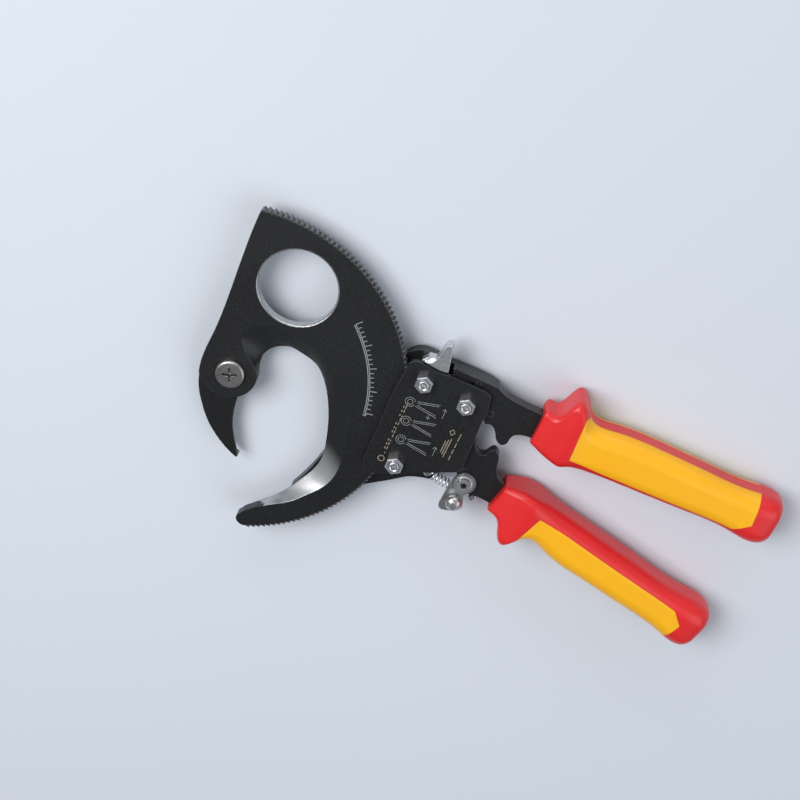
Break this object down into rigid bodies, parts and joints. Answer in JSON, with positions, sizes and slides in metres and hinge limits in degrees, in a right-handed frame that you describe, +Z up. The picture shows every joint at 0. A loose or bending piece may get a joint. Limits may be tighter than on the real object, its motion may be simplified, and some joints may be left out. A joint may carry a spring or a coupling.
{
  "type": "cable cutter",
  "caption": "Ratchet cable cutter with a toothed sickle blade, a fixed hooked blade, a moving insulated handle, release lever, lock lever and return spring.",
  "frame": {"origin": "centre of the tool's bounding box, at its lowest point when it lies flat", "axes": "+X along the fixed handle towards its end, +Z up out of the tool's front face"},
  "size_m": [0.2802, 0.1618, 0.0244],
  "materials": {
    "blade_black": "satin black oxide",
    "plate_black": "satin black",
    "cover_black": "satin black, etched marks",
    "bright_steel": "turned",
    "nickel": "nickel plated",
    "zinc": "zinc plated",
    "pawl_steel": "hardened",
    "die_cast": "satin die-cast",
    "lock_grey": "grey satin",
    "polished": "polished",
    "spring_wire": "bright wire",
    "grip_red": "satin moulded",
    "grip_yellow": "soft moulded"
  },
  "bodies": {
    "frame": {"fixed_blade": "plate_black", "pivot_bush": "bright_steel", "pivot_screw": "nickel", "pivot_washer": "zinc", "pivot_nut": "zinc", "front_cover_plate": "cover_black", "housing_bolts": "zinc", "housing_nuts": "zinc", "lever_bush": "bright_steel", "handle_bush": "bright_steel", "housing_spacer": "bright_steel", "fixed_handle_arm": "plate_black", "arm_rivets": "plate_black", "holding_pawl_pin": "bright_steel", "handle_return_spring": "spring_wire", "spring_body_peg": "bright_steel", "fixed_grip": "grip_red", "fixed_grip_inlays": "grip_yellow"},
    "blade": {"moving_blade": "blade_black"},
    "handle": {"moving_handle_arm": "plate_black", "drive_pawl_pin": "bright_steel", "lock_screw": "zinc", "spring_arm_peg": "bright_steel", "moving_grip": "grip_red", "moving_grip_inlays": "grip_yellow"},
    "drive_pawl": {"drive_pawl": "pawl_steel"},
    "holding_pawl": {"holding_pawl": "pawl_steel"},
    "release_lever": {"release_lever": "die_cast"},
    "lock_lever": {"lock_lever": "lock_grey", "lock_knob": "polished"}
  },
  "joints": [
    {"name": "blade_pivot", "type": "hinge", "parent": "frame", "child": "blade", "pos_m": [-0.12485, -0.00405, 0.0123], "axis": [0, 0, 1], "range_deg": [-75.6, 54]},
    {"name": "handle_pivot", "type": "hinge", "parent": "frame", "child": "handle", "pos_m": [-0.01681, 0.03038, 0.0123], "axis": [0, 0, 1], "range_deg": [0, 9], "stiffness_Nm_per_rad": 2, "springref_deg": -2.86, "deforming": ["handle_return_spring"]},
    {"name": "drive_pawl_pivot", "type": "hinge", "parent": "handle", "child": "drive_pawl", "pos_m": [-0.03729, 0.02144, 0.0136], "axis": [0, 0, 1], "range_deg": [-13.6, 0.2]},
    {"name": "release_lever_pivot", "type": "hinge", "parent": "frame", "child": "release_lever", "pos_m": [-0.03914, 0.03268, 0.0125], "axis": [0, 0, 1], "range_deg": [-3.1, 7], "stiffness_Nm_per_rad": 0.1},
    {"name": "holding_pawl_pivot", "type": "hinge", "parent": "frame", "child": "holding_pawl", "pos_m": [-0.03257, 0.00847, 0.0108], "axis": [0, 0, 1], "range_deg": [-5.7, 12.8]},
    {"name": "lock_lever_pivot", "type": "hinge", "parent": "handle", "child": "lock_lever", "pos_m": [-0.00137, -0.00912, 0.0166], "axis": [0, 0, 1], "range_deg": [0, 40]}
  ],
  "couplings": [
    {"joint": "drive_pawl_pivot", "follows": "handle_pivot", "ratio": -1.5},
    {"joint": "holding_pawl_pivot", "follows": "release_lever_pivot", "ratio": 1.8}
  ]
}
